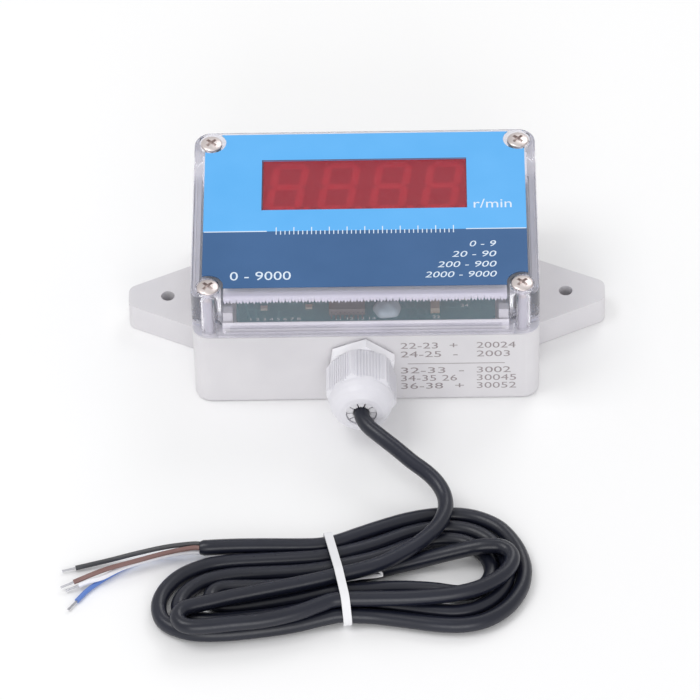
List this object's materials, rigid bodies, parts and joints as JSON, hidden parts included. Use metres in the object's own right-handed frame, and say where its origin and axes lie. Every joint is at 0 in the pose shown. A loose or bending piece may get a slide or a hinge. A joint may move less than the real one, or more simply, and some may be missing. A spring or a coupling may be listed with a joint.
{
  "type": "digital tachometer",
  "caption": "Wall-mounted digital tachometer display in a sealed case with screw ears, a clear lid, a red-filtered digit window and a sensor cable leaving through a gland.",
  "frame": {"origin": "midway between the two ear holes, on the rear face that lies against the wall or bench", "axes": "+X from ear to ear, to the right as the face is read; +Z out of the rear face towards the display; the cable leaves towards -Y"},
  "size_m": [0.1568, 0.1663, 0.0425],
  "materials": {
    "case_plastic": "fine satin moulding",
    "seal_rubber": "soft rubber",
    "clear_plastic": "clear polycarbonate",
    "nickel_steel": "nickel-plated steel",
    "face_film": "printed film",
    "red_film": "red see-through film",
    "board_green": "solder mask over laminate",
    "display_black": "moulded display block",
    "segment_white": "diffusing resin",
    "tinned_metal": "tinned copper",
    "chip_resin": "moulded resin",
    "can_aluminium": "drawn can",
    "ceramic_chip": "fired ceramic with tinned ends",
    "sealant": "cured sealant",
    "gland_nylon": "white nylon",
    "cable_sheath": "soft-sheen sheath",
    "tie_plastic": "white tie",
    "black_insulation": "wire insulation",
    "brown_insulation": "wire insulation",
    "white_insulation": "wire insulation",
    "blue_insulation": "wire insulation"
  },
  "bodies": {
    "root": {"rear_case": "case_plastic", "lid_gasket": "seal_rubber", "front_cover": "clear_plastic", "cover_screws": "nickel_steel", "face_label": "face_film", "display_filter": "red_film", "main_board": "board_green", "board_screws": "nickel_steel", "display_module": "display_black", "digit_segments": "segment_white", "display_pins": "tinned_metal", "controller_chip": "chip_resin", "voltage_regulator": "chip_resin", "filter_capacitor": "can_aluminium", "chip_components": "ceramic_chip", "sealant_bead": "sealant", "inner_leads": "brown_insulation", "gland_body": "gland_nylon", "gland_washer": "seal_rubber", "gland_locknut": "gland_nylon", "gland_seal": "seal_rubber", "gland_claw": "gland_nylon", "gland_nut": "gland_nylon", "signal_cable": "cable_sheath", "cable_hank": "cable_sheath", "cable_tie": "tie_plastic", "wire_black": "black_insulation", "wire_brown": "brown_insulation", "wire_white": "white_insulation", "wire_blue": "blue_insulation", "stripped_ends": "tinned_metal"}
  },
  "joints": []
}
